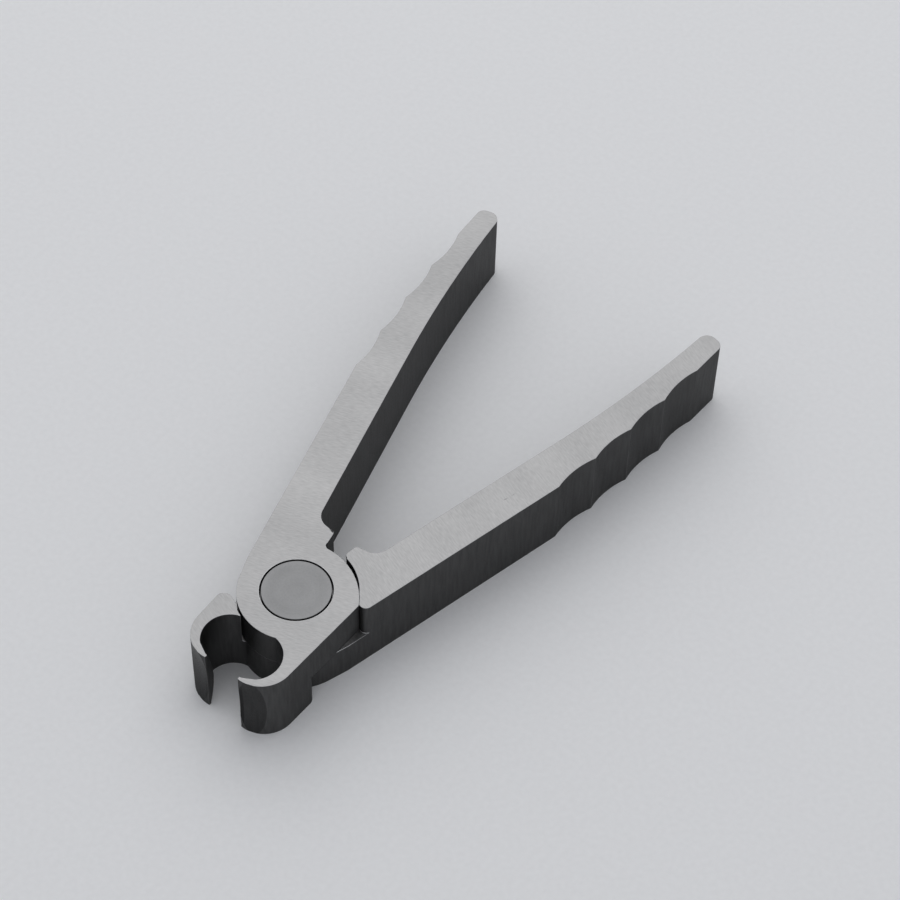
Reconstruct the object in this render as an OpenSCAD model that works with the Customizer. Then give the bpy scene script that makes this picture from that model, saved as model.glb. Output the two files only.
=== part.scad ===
// Pocket end nipper: two identical levers that cross in a half-lap pivot.
// One lever shape is drawn with the jaws shut, its left handle up, its pivot on the Z axis.
// The other lever is the same part turned over about the long axis.
// Both are then swung open, which is how the tool rests.

/* [Plate] */
// Thickness of the tool, from the rest face to the top face
plate_t = 12; // [11:0.5:14]
// Angle that each lever swings from shut jaws to its opening stop
swing = 10; // [8:0.5:10]
// Gap between the two hubs in the half lap
lap_gap = 0.1; // [0.06:0.02:0.2]

/* [Jaws] */
// Radius of the round chamber inside the jaws
chamber_r = 3.93; // [3.8:0.01:4]
// Height of the curved grind that hollows each jaw's front, measured at mid thickness
grind_depth = 0.45; // [0.3:0.05:0.6]
// Height of the rib that stiffens each lip inside the chamber
rib_height = 0.95; // [0.5:0.05:1]

/* [Handles] */
// Number of finger scallops on each handle
scallops = 4; // [3:1:4]
// Length of one finger scallop
scallop_pitch = 7.45; // [7:0.05:7.6]
// Depth of one finger scallop
scallop_depth = 0.52; // [0.2:0.02:0.8]

/* [Pivot] */
// Diameter of the flush heads at both ends of the pivot
head_d = 9.76; // [9:0.02:9.9]
// Diameter of the pivot barrel that the levers turn on
barrel_d = 6; // [5.6:0.1:6.2]
// Radius of the hub of each lever
hub_r = 8.2; // [8:0.05:8.3]
// Wire diameter of the opening spring
wire_d = 0.8; // [0.6:0.05:0.85]

/* [Hidden] */
$fn = 96;
steel = [0.70, 0.70, 0.69];
pin_steel = [0.58, 0.58, 0.57];
bronze = [0.72, 0.52, 0.30];
spring_steel = [0.45, 0.46, 0.48];

mid = plate_t / 2;
over = 1;
far = 14;

// Half lap: the pocket that lets the other hub in, and the round noses that end it
pocket_r = 8.64;
root_nose_r = 1;
root_nose_c = [-7.95, 5.66];
jaw_nose_r = 1.33;
jaw_nose_c = [5.33, -8.51];
fit_gap = 0.05;

// Jaw outline: a straight side that runs into a round front
side_lean = 11.8;
front_r = 4.64;
front_c = [1.24, -11.82];
chamber_c = [0.12, -11.95];
shut_gap = 0.02;
side_foot = front_c + front_r * [cos(side_lean), -sin(side_lean)];
side_dir = [sin(side_lean), cos(side_lean)];
stop_corner = side_foot + 14.75 * side_dir;

// Hub centre, set a little toward the jaws from the pivot
hub_c = [0, -0.12];

// Opening stop: the hub grows from its circle into a corner along a flatter arc
lug_r = 10;
lug_start = 70;
lug_c = hub_c + (hub_r - lug_r) * [cos(lug_start), sin(lug_start)];

// Grinds on the jaw front and on the rib inside the chamber
grind_r = (mid * mid + grind_depth * grind_depth) / (2 * grind_depth);
grind_lean = 8.3;
grind_edge = [0, -16.2];
rib_r = (mid * mid + rib_height * rib_height) / (2 * rib_height);
rib_lean = 19;
rib_edge = [0, -16.03];
bevel_tip = [0.25, -14.95];

// Handle outline
splay = 4.55;
root_x = -8.5;
root_y = 1.63;
crest_y = 39;
crest_gain = 0.1;
tip_outer_c = [-8.15, 73.92];
tip_outer_r = 1.22;
tip_inner_c = [-7.52, 73.61];
tip_inner_r = 1.6;
tip_meet = 97;
palm_y = 60.4;
palm_x = -6.34;
palm_r = 206;
palm_from = 73.5;
palm_to = 44;
web_c = [-0.9, 13.75];
web_r = 2.4;
stop_nose_c = [-0.53, 10.6];
stop_nose_r = 0.5;
groove_c = [0.52, 8.72];
groove_r = 0.6;
groove_end = 235;
groove_out = [0.6, 7.93];
heel_c = [-0.65, 9.36];
heel_r = 0.6;

// Pivot stack
head_clear = 0.24;
head_t = 1.6;
head_play = 0.05;
edge_break = 0.04;
thread_d = 4;
thread_l = 6.9;
thread_end = 0.5;
bush_d = 8;
bush_clear = 0.03;
cell_r = 5.2;
cell_h = 4;
spanner_d = 1.2;
spanner_r = 3;
spanner_h = 1;
washer_t = 0.36;
washer_in = 5.4;
washer_out = 7.5;
washer_clear = 0.02;

// Opening spring: coils round the barrel, with a leg out to each lever
coil_r = 3.95;
coil_turns = 3.55;
coil_rise = 0.86;
coil_steps = 20;
leg_r = 6.7;
leg_well_r = 7;
leg_well_angle = 186;
leg_well_span = 34;
wire_sides = 8;

function polar(r, a) = [r * cos(a), r * sin(a)];
function arc(c, r, a0, a1, n) = [for (i = [0:n]) c + polar(r, a0 + (a1 - a0) * i / n)];

// Shallow hollow arc from p to q, whose middle lies depth to the right of the line p-q
function hollow(p, q, depth, n) =
    let (chord = norm(q - p), r = (chord * chord / 4 + depth * depth) / (2 * depth))
    let (half = asin(chord / 2 / r), dir = atan2(q[1] - p[1], q[0] - p[0]))
    let (c = (p + q) / 2 + (r - depth) * [cos(dir + 90), sin(dir + 90)])
    [for (i = [1:n]) c + polar(r, dir - 90 - half + 2 * half * i / n)];

function crest(i) = [root_x - crest_y * tan(splay) + crest_gain * i * i,
                     crest_y + scallop_pitch * i];
function palm(y) = [palm_x + (y - palm_y) * (y - palm_y) / (2 * palm_r), y];

handle_outline = concat(
    [[0, 0], hub_c + polar(hub_r, 189.5), [root_x - root_y * tan(splay), root_y], crest(0)],
    [for (i = [0:scallops - 1]) each
        [for (p = hollow(-crest(i), -crest(i + 1), scallop_depth, 10)) -p]],
    arc(tip_outer_c, tip_outer_r, 173, tip_meet, 10),
    arc(tip_inner_c, tip_inner_r, tip_meet, -3.6, 14),
    [for (i = [0:10]) palm(palm_from + (palm_to - palm_from) * i / 10)],
    arc(web_c, web_r, 184, 254, 10),
    arc(stop_nose_c, stop_nose_r, 75, 0, 10),
    arc(groove_c, groove_r, 156, groove_end, 10),
    [groove_out]);

// Jaw without its chamber: straight side, round front, flat where the two jaws meet
module jaw_outline() {
    polygon([[0, 0], stop_corner, side_foot, front_c, [shut_gap, front_c[1]], [shut_gap, 0]]);
    intersection() {
        translate(front_c) circle(front_r);
        translate([shut_gap, -far - front_r]) square([far, far]);
    }
}

// Corner that grows out of the hub and meets the other lever when the tool is fully open
module stop_lug(clear) {
    intersection() {
        translate(lug_c) circle(lug_r + clear);
        polygon([[0, 0], side_foot + [clear, 0], stop_corner + clear * [1, 1],
                 polar(far, 30), polar(far, lug_start)]);
    }
}

// Round chamber inside the jaws, less the rib that backs each cutting lip
module chamber() {
    difference() {
        translate([chamber_c[0], chamber_c[1], -over])
            cylinder(r = chamber_r, h = plate_t + 2 * over);
        translate([rib_edge[0], rib_edge[1], mid])
            rotate([0, 0, rib_lean])
                translate([0, rib_height - rib_r, 0])
                    rotate([0, 90, 0])
                        cylinder(r = rib_r, h = 2 * far, center = true, $fn = 360);
    }
    translate([0, 0, -over])
        linear_extrude(plate_t + 2 * over)
            polygon([grind_edge + [-over, 0.05], grind_edge + [0, 0.05], bevel_tip,
                     [-over, bevel_tip[1]]]);
}

// Curved grind across the front of the jaw, deepest at mid thickness
module front_grind() {
    translate([grind_edge[0], grind_edge[1], mid])
        rotate([0, 0, grind_lean])
            translate([0, -grind_r, 0])
                rotate([0, 90, 0])
                    cylinder(r = grind_r, h = 2 * far, center = true, $fn = 360);
}

// What is missing from one half of the thickness, where the other lever's hub turns
module lap_outline() {
    circle(pocket_r);
    rotate(-2 * swing)
        mirror([1, 0])
            stop_lug(fit_gap);
    difference() {
        union() {
            polygon([[0, 0], root_nose_c, root_nose_c + far * [-cos(splay), -sin(splay)],
                     polar(2 * far, 215)]);
            polygon([[0, 0], jaw_nose_c, jaw_nose_c + far * [cos(side_lean), -sin(side_lean)],
                     polar(2 * far, 34)]);
        }
        translate(root_nose_c) circle(root_nose_r);
        translate(jaw_nose_c) circle(jaw_nose_r);
    }
    difference() {
        translate([heel_c[0], heel_c[1] - over]) square([over + heel_r, over]);
        translate(heel_c) circle(heel_r);
    }
}

// Sector-shaped well in the hub where a spring leg bears
module leg_well() {
    intersection() {
        circle(leg_well_r);
        polygon([[0, 0], polar(far, leg_well_angle - leg_well_span / 2),
                 polar(far, leg_well_angle), polar(far, leg_well_angle + leg_well_span / 2)]);
    }
}

// Everything bored into one hub from its outer face to the lap face
module hub_bores() {
    head_r = head_d / 2 + head_clear;
    translate([0, 0, plate_t - head_t]) cylinder(r = head_r, h = head_t + over);
    translate([0, 0, plate_t - edge_break])
        cylinder(r1 = head_r, r2 = head_r + 2 * edge_break, h = 2 * edge_break);
    cylinder(d = bush_d, h = plate_t);
    cylinder(r = cell_r, h = mid + cell_h / 2);
    linear_extrude(mid + cell_h / 2) leg_well();
    cylinder(r = washer_out + 0.1, h = mid + washer_t / 2 + washer_clear);
}

// One lever, jaws shut, handle to the left, full hub in the upper half
module lever() {
    difference() {
        union() {
            difference() {
                linear_extrude(plate_t) {
                    polygon(handle_outline);
                    jaw_outline();
                }
                chamber();
                front_grind();
            }
            translate([hub_c[0], hub_c[1], mid]) cylinder(r = hub_r, h = mid);
            translate([0, 0, mid]) linear_extrude(mid) stop_lug(0);
        }
        translate([0, 0, -over]) linear_extrude(mid + lap_gap / 2 + over) lap_outline();
        hub_bores();
    }
}

module lever_left() {
    color(steel) rotate(swing) lever();
}

module lever_right() {
    color(steel)
        rotate(-swing)
            translate([0, 0, plate_t])
                rotate([0, 180, 0])
                    lever();
}

// Flush plain head on the top face, barrel through both hubs, tapped from below
module pivot_barrel() {
    color(pin_steel) difference() {
        union() {
            translate([0, 0, plate_t - head_t]) cylinder(d = head_d, h = head_t - edge_break);
            translate([0, 0, plate_t - edge_break])
                cylinder(d1 = head_d, d2 = head_d - 2 * edge_break, h = edge_break);
            translate([0, 0, head_t - head_play])
                cylinder(d = barrel_d, h = plate_t - 2 * head_t + head_play);
        }
        translate([0, 0, head_t - head_play - over])
            cylinder(d = thread_d, h = thread_l + thread_end + over);
    }
}

// Flush screw on the rest face, with two holes for a pin spanner
module pivot_screw() {
    head_h = head_t - head_play;
    color(pin_steel) difference() {
        union() {
            cylinder(d1 = head_d - 2 * edge_break, d2 = head_d, h = edge_break);
            translate([0, 0, edge_break]) cylinder(d = head_d, h = head_h - edge_break);
            cylinder(d = thread_d, h = head_h + thread_l);
        }
        for (side = [-1, 1])
            translate([side * spanner_r, 0, -over])
                cylinder(d = spanner_d, h = spanner_h + over);
    }
}

module bush(z) {
    color(bronze)
        translate([0, 0, z])
            difference() {
                cylinder(d = bush_d, h = mid - cell_h / 2 - head_t);
                translate([0, 0, -over])
                    cylinder(d = barrel_d + 2 * bush_clear, h = plate_t);
            }
}

module bush_upper() {
    bush(mid + cell_h / 2);
}

module bush_lower() {
    bush(head_t);
}

// Thin ring that keeps the two steel hubs from rubbing
module thrust_washer() {
    color(bronze)
        translate([0, 0, mid - washer_t / 2])
            difference() {
                cylinder(r = washer_out, h = washer_t);
                translate([0, 0, -over]) cylinder(r = washer_in, h = washer_t + 2 * over);
            }
}

// Wire centre line: a radial leg, the coils from the lower lever up, a radial leg
leg_low_angle = 180 - leg_well_angle;
coil_z = mid - coil_turns * coil_rise / 2;
function coil_point(i) =
    let (turn = i / coil_steps)
    [coil_r * cos(leg_low_angle + 360 * turn), coil_r * sin(leg_low_angle + 360 * turn),
     coil_z + coil_rise * turn];
coil_count = round(coil_turns * coil_steps);
wire_path = [for (i = [0:coil_count]) coil_point(i)];

function unit(v) = v / norm(v);
function tangent(i) =
    unit(wire_path[min(i + 1, coil_count)] - wire_path[max(i - 1, 0)]);

// A ring of the wire round path point i, square to the wire
function ring(i) =
    let (t = tangent(i), side = unit(cross([0, 0, 1], t)), up = cross(t, side))
    [for (k = [0:wire_sides - 1])
        wire_path[i] + wire_d / 2 * (cos(360 * k / wire_sides) * side
                                     + sin(360 * k / wire_sides) * up)];

module spring_coils() {
    rings = coil_count + 1;
    points = [for (i = [0:coil_count]) each ring(i)];
    walls = [for (i = [0:coil_count - 1], k = [0:wire_sides - 1])
        let (n = (k + 1) % wire_sides, a = i * wire_sides, b = a + wire_sides)
        each [[a + k, b + n, a + n], [a + k, b + k, b + n]]];
    near = [for (k = [0:wire_sides - 1]) k];
    last = [for (k = [wire_sides - 1:-1:0]) (rings - 1) * wire_sides + k];
    polyhedron(points, concat(walls, [near, last]));
}

module spring_leg(i) {
    p = wire_path[i];
    translate([0, 0, p[2]])
        rotate([0, 0, atan2(p[1], p[0])])
            rotate([0, 90, 0])
                translate([0, 0, coil_r - wire_d / 2])
                    cylinder(d = wire_d, h = leg_r - coil_r + wire_d / 2, $fn = 24);
}

module opening_spring() {
    color(spring_steel) {
        spring_coils();
        spring_leg(0);
        spring_leg(coil_count);
    }
}

lever_left();
lever_right();
pivot_barrel();
pivot_screw();
bush_upper();
bush_lower();
thrust_washer();
opening_spring();
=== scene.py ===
"""Looks for a pocket end nipper: two ground steel levers, a flush turned pivot, a hidden spring.

Every CAD node keeps its own mesh and gets softened edges and a procedural material.
All lengths are in metres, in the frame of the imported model.
"""

import math

import bpy
from mathutils import Matrix, Vector

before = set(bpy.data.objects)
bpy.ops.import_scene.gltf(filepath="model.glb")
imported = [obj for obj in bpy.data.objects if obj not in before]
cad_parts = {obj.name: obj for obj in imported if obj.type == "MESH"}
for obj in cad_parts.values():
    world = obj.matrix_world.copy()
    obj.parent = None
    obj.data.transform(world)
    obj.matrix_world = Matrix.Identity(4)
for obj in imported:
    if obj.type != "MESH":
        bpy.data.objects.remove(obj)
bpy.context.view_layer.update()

MM = 0.001

# Edge breaks that the ground steel, the turned pin and the bronze have
LEVER_EDGE = 0.04 * MM
PIN_EDGE = 0.03 * MM
BRONZE_EDGE = 0.05 * MM
BEVEL_ANGLE = math.radians(28)

# Edges sharper than CREASE_ANGLE stay creased. The rim of a hollow grind may be as faint as
# RIM_ANGLE, and its faces are told from walls and tops by the upward part of their normals.
CREASE_ANGLE = math.radians(13)
RIM_ANGLE = math.radians(2)
LEANING_LEAST = 0.01
LEANING_MOST = 0.9

# Vertices closer than this are joined. The spring's finest facets need the smaller distance.
WELD = 0.001 * MM
WIRE_WELD = 0.0001 * MM

# The grind runs across each lever, at this angle from X
GRAIN_ANGLE = math.radians(20)

# At rest each lever stands swung open by SWING. Shut, the hollow grind across the front of its
# jaw faces forward within GRIND_SPREAD of GRIND_LEAN, and its mask, which carries painted shade,
# fades out by GRIND_FADE. A still darker strip of painted shade runs down its lip.
SWING = math.radians(10)
GRIND_LEAN = math.radians(8.3)
GRIND_SPREAD = math.radians(11)
GRIND_FADE = math.radians(14.3)
JAW_FRONT = -13.5 * MM
LIP_SHADE_WIDTH = 0.6 * MM
LIP_SHADE_FADE = 0.05 * MM

# The plate's top, the lap between the hubs, and where the lap's edge shows behind the chamber,
# where the edge breaks keep painted shade
TOP = 12 * MM
MID_PLANE = 6 * MM
CHAMBER_HALF_WIDTH = 2.9 * MM
CHAMBER_BACK = -7 * MM

# Most noise values lie in this range, which stretched() spreads over the full one
NOISE_LOW = 0.3
NOISE_HIGH = 0.7

# Ranges of the normal's upward part over which two masks fade in: the one for flat faces, whose
# walls take painted shade, and the one for edge breaks that don't stand upright, which take
# rubbed wear and painted highlight
FLAT_FROM, FLAT_TO = 0.6, 0.8
TILTED_FROM, TILTED_TO = 0.2, 0.5

# Tint of the walls' reflections at a glancing angle, painted shade which keeps them dark there
# too
WALL_REFLECTION_SHADE = 0.6

# How much of the steel's tone a scuff hides, and how strong the faint one is beside the dark one
SCUFF_COVER = 0.75
FAINT_SCUFF = 0.45

# Lowest and highest roughness of the lever steel
TOP_ROUGH = (0.32, 0.46)
WALL_ROUGH = (0.4, 0.5)
GRIND_ROUGH = (0.26, 0.32)


class Shade:
    """Builds one material. Most methods add nodes and return an output socket."""

    def __init__(self, name):
        self.material = bpy.data.materials.new(name)
        self.material.use_nodes = True
        self.tree = self.material.node_tree
        self.shader = self.tree.nodes["Principled BSDF"]
        coordinates = self.add("TexCoord").outputs
        self.place = coordinates["Object"]
        self.normal = coordinates["Normal"]

    def add(self, kind, inputs=(), **settings):
        node = self.tree.nodes.new("ShaderNode" + kind)
        for key, value in settings.items():
            setattr(node, key, value)
        for key, value in dict(inputs).items():
            self.feed(node.inputs[key], value)
        return node

    def feed(self, socket, value):
        if isinstance(value, bpy.types.NodeSocket):
            self.tree.links.new(value, socket)
        else:
            socket.default_value = value

    def surface(self, **inputs):
        for name, value in inputs.items():
            self.feed(self.shader.inputs[name.replace("_", " ")], value)

    def math(self, operation, a, b=0.0):
        return self.add("Math", {0: a, 1: b}, operation=operation).outputs[0]

    def facing(self, azimuth):
        """Cosine of the angle between the surface normal and a level direction."""
        toward = (math.cos(azimuth), math.sin(azimuth), 0)
        inputs = {0: self.normal, 1: toward}
        return self.add("VectorMath", inputs, operation="DOT_PRODUCT").outputs["Value"]

    def split(self, vector):
        return self.add("SeparateXYZ", {0: vector}).outputs

    def radius(self):
        """Distance from the pivot axis, in metres."""
        x, y, _ = self.split(self.place)
        square = self.math("ADD", self.math("MULTIPLY", x, x), self.math("MULTIPLY", y, y))
        return self.math("SQRT", square)

    def rings(self, radius, rings_per_mm, offset=0.0, detail=2.0):
        """Noise that changes only with the radius, as lathe marks do."""
        along = self.math("MULTIPLY", radius, rings_per_mm / MM)
        inputs = {0: along, 1: offset, 2: 0.0}
        return self.noise(self.add("CombineXYZ", inputs).outputs[0], detail)

    def turned(self, angle, stretch):
        """Object coordinates in stretched units, turned so that X runs along the angle."""
        turn = self.add("Mapping", {"Vector": self.place, "Rotation": (0, 0, -angle)})
        inputs = {0: turn.outputs[0], 1: stretch}
        return self.add("VectorMath", inputs, operation="MULTIPLY").outputs[0]

    def noise(self, vector, detail=2.0):
        inputs = {"Vector": vector, "Scale": 1.0, "Detail": detail, "Roughness": 0.5}
        return self.add("TexNoise", inputs).outputs["Fac"]

    def remap(self, value, low, high, to_low=0.0, to_high=1.0):
        inputs = {0: value, 1: low, 2: high, 3: to_low, 4: to_high}
        return self.add("MapRange", inputs).outputs[0]

    def stretched(self, noise, to_low=0.0, to_high=1.0):
        """A noise value, spread over a range of the caller's choice."""
        return self.remap(noise, NOISE_LOW, NOISE_HIGH, to_low, to_high)

    def weighted(self, *parts):
        """Sum of socket and weight pairs."""
        terms = [self.math("MULTIPLY", socket, weight) for socket, weight in parts]
        total = terms[0]
        for term in terms[1:]:
            total = self.math("ADD", total, term)
        return total

    def mix(self, factor, a, b):
        """Colour a where the factor is 0, b where it is 1."""
        node = self.add("Mix", data_type="RGBA")
        self.feed(node.inputs["Factor"], factor)
        first, second = [socket for socket in node.inputs if socket.type == "RGBA"]
        self.feed(first, a)
        self.feed(second, b)
        return next(socket for socket in node.outputs if socket.type == "RGBA")

    def upward(self):
        """Size of the upward or downward part of the surface normal."""
        return self.math("ABSOLUTE", self.split(self.normal)[2])

    def flatness(self):
        """1 on faces that look up or down, 0 on the walls."""
        return self.remap(self.upward(), FLAT_FROM, FLAT_TO)

    def blend(self, factor, a, b):
        """Number a where the factor is 0, b where it is 1."""
        return self.math("ADD", a, self.math("MULTIPLY", factor, self.math("SUBTRACT", b, a)))

    def bump(self, height, depth):
        inputs = {"Height": height, "Distance": depth, "Strength": 1.0}
        self.feed(self.shader.inputs["Normal"], self.add("Bump", inputs).outputs[0])


def grey(value, warmth=0.0):
    return (value * (1 + warmth), value, value * (1 - warmth), 1)


# Tones of each finish, the darkest and the lightest where they vary. The walls, the hollow grind,
# its lip and the upright edges are darkened with painted shade, and the edge breaks that tilt up
# are lightened partly with painted highlight.
TOP_TONES = (grey(0.325, 0.006), grey(0.475, 0.01))
# Painted shade: the walls' dark tone, as if they reflected a dark room
WALL_SHADE_TONES = (grey(0.08), grey(0.11))
# Painted shade: the hollow grind on the jaw's front, darker than the walls
GRIND_SHADE_TONES = (grey(0.05), grey(0.066))
# Painted shade: the darkest strip, down the jaw's lip
LIP_SHADE_TONE = grey(0.032)
SCUFF_TONE = grey(0.12)
# Painted shade: the dark tone of upright edges and of the lap's edge behind the chamber
EDGE_SHADE_TONE = grey(0.1)
# Rubbed wear and painted highlight: the light tone of edge breaks that tilt up
RUBBED_HIGHLIGHT_TONES = (grey(0.55), grey(0.75))
PIN_TONES = (grey(0.265), grey(0.325))
BRONZE_TONES = ((0.50, 0.30, 0.14, 1), (0.66, 0.43, 0.22, 1))
WIRE_TONES = (grey(0.24), grey(0.33))
FLOOR_TONES = (grey(0.87), grey(0.9))


def per_mm(across, along=None, up=None):
    """Stretch factors that turn metres into noise cells, given the cells per millimetre."""
    along = across if along is None else along
    up = across if up is None else up
    return (across / MM, along / MM, up / MM)


def scuff(s, place, angle, length, width):
    """1 inside a short scuff on the top face, 0 outside it."""
    inputs = {"Vector": s.place, "Location": place, "Rotation": (0, 0, angle),
              "Scale": (length / 2, width / 2, MM)}
    mapping = s.add("Mapping", inputs, vector_type="TEXTURE")
    ball = s.add("TexGradient", {0: mapping.outputs[0]}, gradient_type="SPHERICAL")
    return s.remap(ball.outputs["Fac"], 0.0, 0.5)


def scuffs(s):
    """The two handling marks on the right handle."""
    dark_place = (13.53 * MM, 30.03 * MM, TOP)
    faint_place = (13.92 * MM, 31.3 * MM, TOP)
    dark = scuff(s, dark_place, math.radians(59), length=0.7 * MM, width=0.15 * MM)
    faint = scuff(s, faint_place, math.radians(78), length=1.0 * MM, width=0.14 * MM)
    return s.math("MAXIMUM", dark, s.math("MULTIPLY", faint, FAINT_SCUFF))


def grind_masks(s, hand):
    """Masks for the hollow grind on the jaw's front and for the strip of painted shade at its
    lip.
    """
    x, y, _ = s.split(s.turned(hand * SWING, (hand, 1, 1)))
    facing = s.facing(hand * (SWING + GRIND_LEAN) - math.pi / 2)
    level = s.remap(facing, math.cos(GRIND_FADE), math.cos(GRIND_SPREAD))
    ground = s.math("MULTIPLY", level, s.math("LESS_THAN", y, JAW_FRONT))
    # The strip down the lip that takes painted shade
    lip_shade = s.math("MULTIPLY", ground, s.remap(x, LIP_SHADE_WIDTH, LIP_SHADE_WIDTH - LIP_SHADE_FADE))
    return ground, lip_shade


def lever_steel(name, hand):
    """Flat faces ground across the lever, satin walls, and smoother grinds on the jaw.
    The walls, the grind and its lip take dark tones of painted shade.

    hand is 1 for the lever whose jaw is on the right, and -1 for the other one.
    """
    s = Shade(name)
    grain = hand * GRAIN_ANGLE
    streaks = s.noise(s.turned(grain, per_mm(0.9, 5.5, 5.5)))
    hairs = s.noise(s.turned(grain, per_mm(0.6, 14, 14)))
    blotches = s.noise(s.turned(grain, per_mm(0.05, 0.09, 0.09)))
    satin = s.noise(s.turned(0, per_mm(5)))
    drawn = s.noise(s.turned(0, per_mm(2.2, 2.2, 0.25)), detail=3.0)
    flat = s.flatness()
    jaw_grind, lip_shade = grind_masks(s, hand)

    top_tone = s.weighted((s.stretched(streaks), 0.65), (s.stretched(blotches), 0.35))
    top = s.mix(top_tone, *TOP_TONES)
    wall_tone = s.stretched(drawn)
    # The walls' dark tone is painted shade; the tops keep the steel's own tone
    wall = s.mix(wall_tone, *WALL_SHADE_TONES)
    # The grind's darker tone is painted shade, and so is the still darker strip down its lip
    grind = s.mix(lip_shade, s.mix(wall_tone, *GRIND_SHADE_TONES), LIP_SHADE_TONE)
    # Where the grind mask is on, the wall takes the grind's painted shade
    wall = s.mix(jaw_grind, wall, grind)
    colour = s.mix(flat, wall, top)
    if hand < 0:
        colour = s.mix(s.math("MULTIPLY", scuffs(s), SCUFF_COVER), colour, SCUFF_TONE)
    s.surface(Base_Color=colour, Metallic=1.0)
    # The walls' reflections are tinted dark: painted shade
    s.surface(Specular_Tint=s.mix(flat, grey(WALL_REFLECTION_SHADE), grey(1.0)))

    top_rough = s.remap(s.math("ADD", streaks, hairs), 0.7, 1.3, *TOP_ROUGH)
    wall_rough = s.blend(jaw_grind, s.stretched(satin, *WALL_ROUGH),
                         s.stretched(satin, *GRIND_ROUGH))
    s.surface(Roughness=s.blend(flat, wall_rough, top_rough))
    grain_height = s.weighted((streaks, 0.7), (hairs, 0.3))
    s.bump(s.blend(flat, s.math("MULTIPLY", satin, 0.5), grain_height), depth=0.01 * MM)
    return s.material


def lever_edge(name):
    """The narrow break along every lever edge, light where it tilts up: rubbed wear and painted
    highlight.

    The walls' own upright edges stay dark with painted shade, and so does the lap's edge behind
    the chamber.
    """
    s = Shade(name)
    rub = s.noise(s.turned(0, per_mm(0.6)), detail=3.0)
    tilt = s.remap(s.upward(), TILTED_FROM, TILTED_TO)
    x, y, z = s.split(s.place)
    # The lap's edge behind the chamber keeps painted shade
    beside = s.math("GREATER_THAN", s.math("ABSOLUTE", x), CHAMBER_HALF_WIDTH)
    ahead = s.math("GREATER_THAN", y, CHAMBER_BACK)
    height = s.math("ABSOLUTE", s.math("SUBTRACT", z, MID_PLANE))
    outer = s.math("GREATER_THAN", height, MID_PLANE / 2)
    outside_chamber_shade = s.math("MAXIMUM", outer, s.math("MAXIMUM", beside, ahead))
    tone = s.mix(s.remap(rub, 0.35, 0.65), *RUBBED_HIGHLIGHT_TONES)
    # Edges that tilt up outside that shade get rubbed wear and painted highlight, the others
    # painted shade
    bright = s.math("MULTIPLY", tilt, outside_chamber_shade)
    s.surface(Base_Color=s.mix(bright, EDGE_SHADE_TONE, tone), Metallic=1.0)
    s.surface(Roughness=s.stretched(rub, 0.45, 0.33))
    s.bump(s.noise(s.turned(0, per_mm(8)), detail=1.0), depth=0.003 * MM)
    return s.material


def turned_steel(name):
    """Pin steel: fine lathe rings round the pivot axis on its flat ends."""
    s = Shade(name)
    radius = s.radius()
    rings = s.rings(radius, 6, detail=3.0)
    bands = s.rings(radius, 0.7, offset=4.0, detail=1.0)
    matte = s.noise(s.turned(0, per_mm(4)))
    smudge = s.noise(s.turned(0, per_mm(0.22)))
    tone = s.weighted((s.stretched(rings), 0.25), (s.stretched(bands), 0.35),
                      (s.stretched(smudge), 0.4))
    s.surface(Base_Color=s.mix(tone, *PIN_TONES), Metallic=1.0)
    s.surface(Roughness=s.stretched(matte, 0.44, 0.54))
    s.bump(s.weighted((rings, 0.7), (matte, 0.3)), depth=0.006 * MM)
    return s.material


def bronze(name):
    """Bearing bronze with turning rings and a slightly oily, uneven tint."""
    s = Shade(name)
    tint = s.noise(s.turned(0, per_mm(0.4)), detail=3.0)
    colour = s.mix(s.stretched(tint), *BRONZE_TONES)
    s.surface(Base_Color=colour, Metallic=1.0)
    s.surface(Roughness=s.stretched(tint, 0.46, 0.34))
    s.bump(s.rings(s.radius(), 7), depth=0.006 * MM)
    return s.material


def drawn_wire(name):
    """Spring wire: dark, smooth, with fine draw lines."""
    s = Shade(name)
    lines = s.noise(s.turned(0, per_mm(3, 3, 14)))
    tint = s.noise(s.turned(0, per_mm(0.8)))
    s.surface(Base_Color=s.mix(s.stretched(tint), *WIRE_TONES), Metallic=1.0)
    s.surface(Roughness=s.stretched(lines, 0.28, 0.4))
    s.bump(lines, depth=0.004 * MM)
    return s.material


def cad_faces(mesh):
    """For each vertex, one vertex that stands for its CAD face, whose polygons share vertices."""
    stand = list(range(len(mesh.vertices)))

    def find(v):
        while stand[v] != v:
            stand[v] = stand[stand[v]]
            v = stand[v]
        return v

    for polygon in mesh.polygons:
        first = find(polygon.vertices[0])
        for v in polygon.vertices[1:]:
            stand[find(v)] = first
    return [find(v) for v in range(len(stand))]


def mark_creases(mesh):
    """Marks sharp edges: real corners, and the faint rims where a hollow grind meets a wall."""
    face_of = cad_faces(mesh)
    tilted = {face_of[p.vertices[0]] for p in mesh.polygons
              if LEANING_LEAST < abs(p.normal.z) < LEANING_MOST}
    edge_index = {edge.key: edge.index for edge in mesh.edges}
    meeting = {}
    for polygon in mesh.polygons:
        for key in polygon.edge_keys:
            ends = frozenset(tuple(round(c / WELD) for c in mesh.vertices[v].co) for v in key)
            meeting.setdefault(ends, []).append((polygon, edge_index[key]))
    for edge in mesh.edges:
        edge.use_edge_sharp = False
    for sides in meeting.values():
        (a, edge_a), (b, edge_b) = sides[0], sides[-1]
        angle = a.normal.angle(b.normal, 0)
        rim = (face_of[a.vertices[0]] in tilted) != (face_of[b.vertices[0]] in tilted)
        if angle > (RIM_ANGLE if rim else CREASE_ANGLE):
            mesh.edges[edge_a].use_edge_sharp = True
            mesh.edges[edge_b].use_edge_sharp = True


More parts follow.
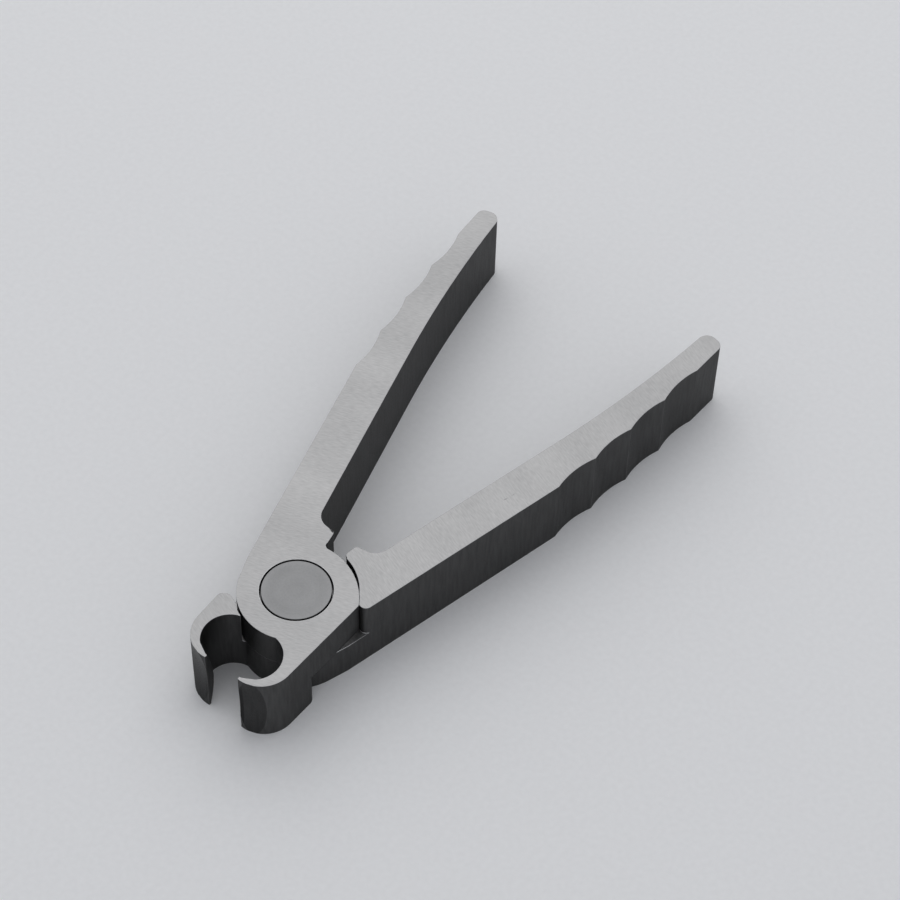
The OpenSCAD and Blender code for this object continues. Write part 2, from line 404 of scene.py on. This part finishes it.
def soften(node, width, edge_slot=-1):
    """Joins the node's split vertices, breaks its sharp edges and smooths its curved walls."""
    node.data.shade_smooth()
    if width:
        mark_creases(node.data)
    weld = node.modifiers.new("weld", "WELD")
    weld.merge_threshold = WELD if width else WIRE_WELD
    if width:
        bevel = node.modifiers.new("edge_break", "BEVEL")
        bevel.width = width
        bevel.segments = 2
        bevel.limit_method = "ANGLE"
        bevel.angle_limit = BEVEL_ANGLE
        bevel.use_clamp_overlap = False
        bevel.material = edge_slot
        bevel.face_strength_mode = "FSTR_ALL"
    normals = node.modifiers.new("normals", "WEIGHTED_NORMAL")
    normals.keep_sharp = bool(width)
    normals.use_face_influence = bool(width)


def dress(name, materials, width):
    """Gives a CAD node its materials; the second one, if any, goes on its edge breaks."""
    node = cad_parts[name]
    node.data.materials.clear()
    for material in materials:
        node.data.materials.append(material)
    soften(node, width, len(materials) - 1)


def dress_nodes():
    edge = lever_edge("lever_edge")
    pin = turned_steel("pin_steel")
    bearing = bronze("bearing_bronze")
    dress("lever_left", [lever_steel("lever_left_steel", 1), edge], LEVER_EDGE)
    dress("lever_right", [lever_steel("lever_right_steel", -1), edge], LEVER_EDGE)
    for name in ("pivot_barrel", "pivot_screw"):
        dress(name, [pin], PIN_EDGE)
    for name in ("bush_upper", "bush_lower", "thrust_washer"):
        dress(name, [bearing], BRONZE_EDGE)
    dress("opening_spring", [drawn_wire("spring_wire")], 0)


# Half the side of the square floor
FLOOR_HALF = 3.0

# Camera: the direction it looks from, its roll, its distance, what it looks at and its long lens
CAMERA_AZIMUTH = math.radians(35.62)
CAMERA_ELEVATION = math.radians(52.28)
CAMERA_ROLL = math.radians(1.66)
CAMERA_DISTANCE = 0.3933
CAMERA_AIM = Vector((0.0021, 0.0322, 0.012))
CAMERA_LENS = 110.5
CAMERA_SENSOR = 36
CAMERA_CLIP = 0.01

# The even, slightly cool light of the room round the three softboxes
ROOM_COLOUR = (0.93, 0.95, 1.0, 1)
ROOM_STRENGTH = 0.5


def direction(azimuth, elevation):
    """Unit vector from the object toward a viewer at that azimuth and elevation."""
    flat = math.cos(elevation)
    return Vector((math.sin(azimuth) * flat, -math.cos(azimuth) * flat, math.sin(elevation)))


def make_camera():
    data = bpy.data.cameras.new("camera")
    data.lens = CAMERA_LENS
    data.sensor_width = CAMERA_SENSOR
    data.clip_start = CAMERA_CLIP
    camera = bpy.data.objects.new("camera", data)
    bpy.context.scene.collection.objects.link(camera)
    back = direction(CAMERA_AZIMUTH, CAMERA_ELEVATION)
    camera.location = CAMERA_AIM + back * CAMERA_DISTANCE
    level = back.to_track_quat("Z", "Y").to_matrix()
    camera.rotation_euler = (level @ Matrix.Rotation(CAMERA_ROLL, 3, "Z")).to_euler()
    bpy.context.scene.camera = camera


def softbox(name, azimuth, elevation, distance, width, height, radiance):
    """A rectangular area light that faces the object, with its power set by its radiance.

    Angles are in degrees, lengths in metres.
    """
    data = bpy.data.lights.new(name, "AREA")
    data.shape = "RECTANGLE"
    data.size = width
    data.size_y = height
    data.energy = radiance * math.pi * width * height
    light = bpy.data.objects.new(name, data)
    bpy.context.scene.collection.objects.link(light)
    toward = direction(math.radians(azimuth), math.radians(elevation))
    light.location = CAMERA_AIM + toward * distance
    light.rotation_euler = toward.to_track_quat("Z", "Y").to_euler()


def make_lights():
    softbox("key", azimuth=215, elevation=52, distance=0.9, width=1.3, height=1.3, radiance=0.68)
    softbox("fill", azimuth=300, elevation=48, distance=1, width=0.5, height=0.5, radiance=0.15)
    softbox("front", azimuth=40, elevation=30, distance=1.1, width=0.5, height=0.4, radiance=0.12)
    world = bpy.data.worlds.new("studio")
    world.use_nodes = True
    background = world.node_tree.nodes["Background"]
    background.inputs["Color"].default_value = ROOM_COLOUR
    background.inputs["Strength"].default_value = ROOM_STRENGTH
    bpy.context.scene.world = world
    bpy.context.scene.view_settings.view_transform = "Standard"


def make_floor():
    """A plain pale floor at the height of the rest face."""
    mesh = bpy.data.meshes.new("floor")
    half = FLOOR_HALF
    corners = [(-half, -half, 0), (half, -half, 0), (half, half, 0), (-half, half, 0)]
    mesh.from_pydata(corners, [], [(0, 1, 2, 3)])
    floor = bpy.data.objects.new("floor", mesh)
    bpy.context.scene.collection.objects.link(floor)
    s = Shade("floor_paper")
    fibre = s.noise(s.turned(0, per_mm(1.2)), detail=3.0)
    s.surface(Base_Color=s.mix(s.stretched(fibre), *FLOOR_TONES), Roughness=0.7)
    floor.data.materials.append(s.material)


dress_nodes()
make_floor()
make_lights()
make_camera()
